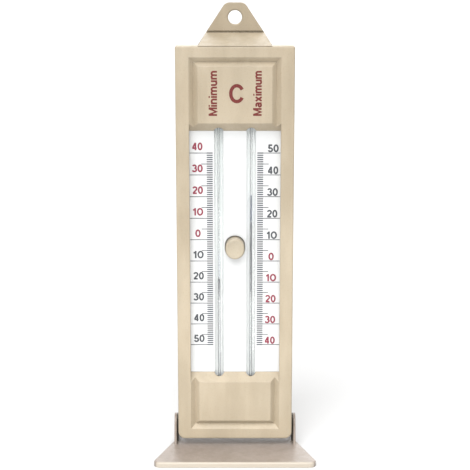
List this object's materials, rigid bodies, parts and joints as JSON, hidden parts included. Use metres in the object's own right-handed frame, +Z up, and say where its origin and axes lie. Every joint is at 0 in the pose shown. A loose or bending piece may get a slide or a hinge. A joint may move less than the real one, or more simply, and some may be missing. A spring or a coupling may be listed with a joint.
{
  "type": "maximum minimum thermometer",
  "caption": "Upright maximum and minimum thermometer: U-shaped glass tube over a white scale in a framed case, press button reset, hanging tab, tilting stand.",
  "frame": {"origin": "the middle of the stand's underside, on the surface it stands on", "axes": "+Z up, the scale faces -Y, +X to the right of someone who reads it"},
  "size_m": [0.0844, 0.0534, 0.2366],
  "materials": {
    "case_plastic": "moulded cream plastic, satin",
    "stand_plastic": "moulded beige plastic, satin",
    "scale_white": "white plastic with printed scales",
    "tube_glass": "clear drawn glass",
    "mercury": "bright liquid metal",
    "spirit": "clear spirit",
    "index_glass": "thin blue-grey glass sheath",
    "index_steel": "soft iron core",
    "button_plastic": "moulded cream plastic, slightly glossy",
    "carrier_plastic": "moulded grey-white plastic",
    "magnet": "flexible bonded ferrite strip",
    "screw_steel": "zinc-plated steel",
    "spring_steel": "spring steel wire",
    "clip_plastic": "white moulded clip",
    "foam": "soft closed-cell foam"
  },
  "bodies": {
    "case": {"rear_case": "case_plastic", "front_cover": "case_plastic", "scale_plate": "scale_white", "glass_tube": "tube_glass", "mercury_thread": "mercury", "bulb_spirit": "spirit", "spare_bulb_spirit": "spirit", "return_spring": "spring_steel", "upper_tube_clip": "clip_plastic", "lower_tube_clip": "clip_plastic", "clip_screws": "screw_steel", "scale_plate_screws": "screw_steel", "case_screws": "screw_steel", "bulb_cushion": "foam", "bend_cushion": "foam"},
    "reset": {"reset_button": "button_plastic", "magnet_carrier": "carrier_plastic", "min_magnet": "magnet", "max_magnet": "magnet", "button_screw": "screw_steel"},
    "min_index": {"min_index_sheath": "index_glass", "min_index_core": "index_steel"},
    "max_index": {"max_index_sheath": "index_glass", "max_index_core": "index_steel"},
    "stand": {"stand": "stand_plastic"}
  },
  "joints": [
    {"name": "stand_hinge", "type": "hinge", "parent": "case", "child": "stand", "pos_m": [0, 0.00665, 0.0126], "axis": [1, 0, 0], "range_deg": [0, 90]},
    {"name": "button_press", "type": "slide", "parent": "case", "child": "reset", "axis": [0, 1, 0], "range_m": [0, 0.003], "stiffness_N_per_m": 250, "springref_m": -0.004, "deforming": ["return_spring"]},
    {"name": "min_index_slide", "type": "slide", "parent": "case", "child": "min_index", "axis": [0, 0, 1], "range_m": [0, 0.0668]},
    {"name": "max_index_slide", "type": "slide", "parent": "case", "child": "max_index", "axis": [0, 0, 1], "range_m": [0, 0.0361]}
  ]
}
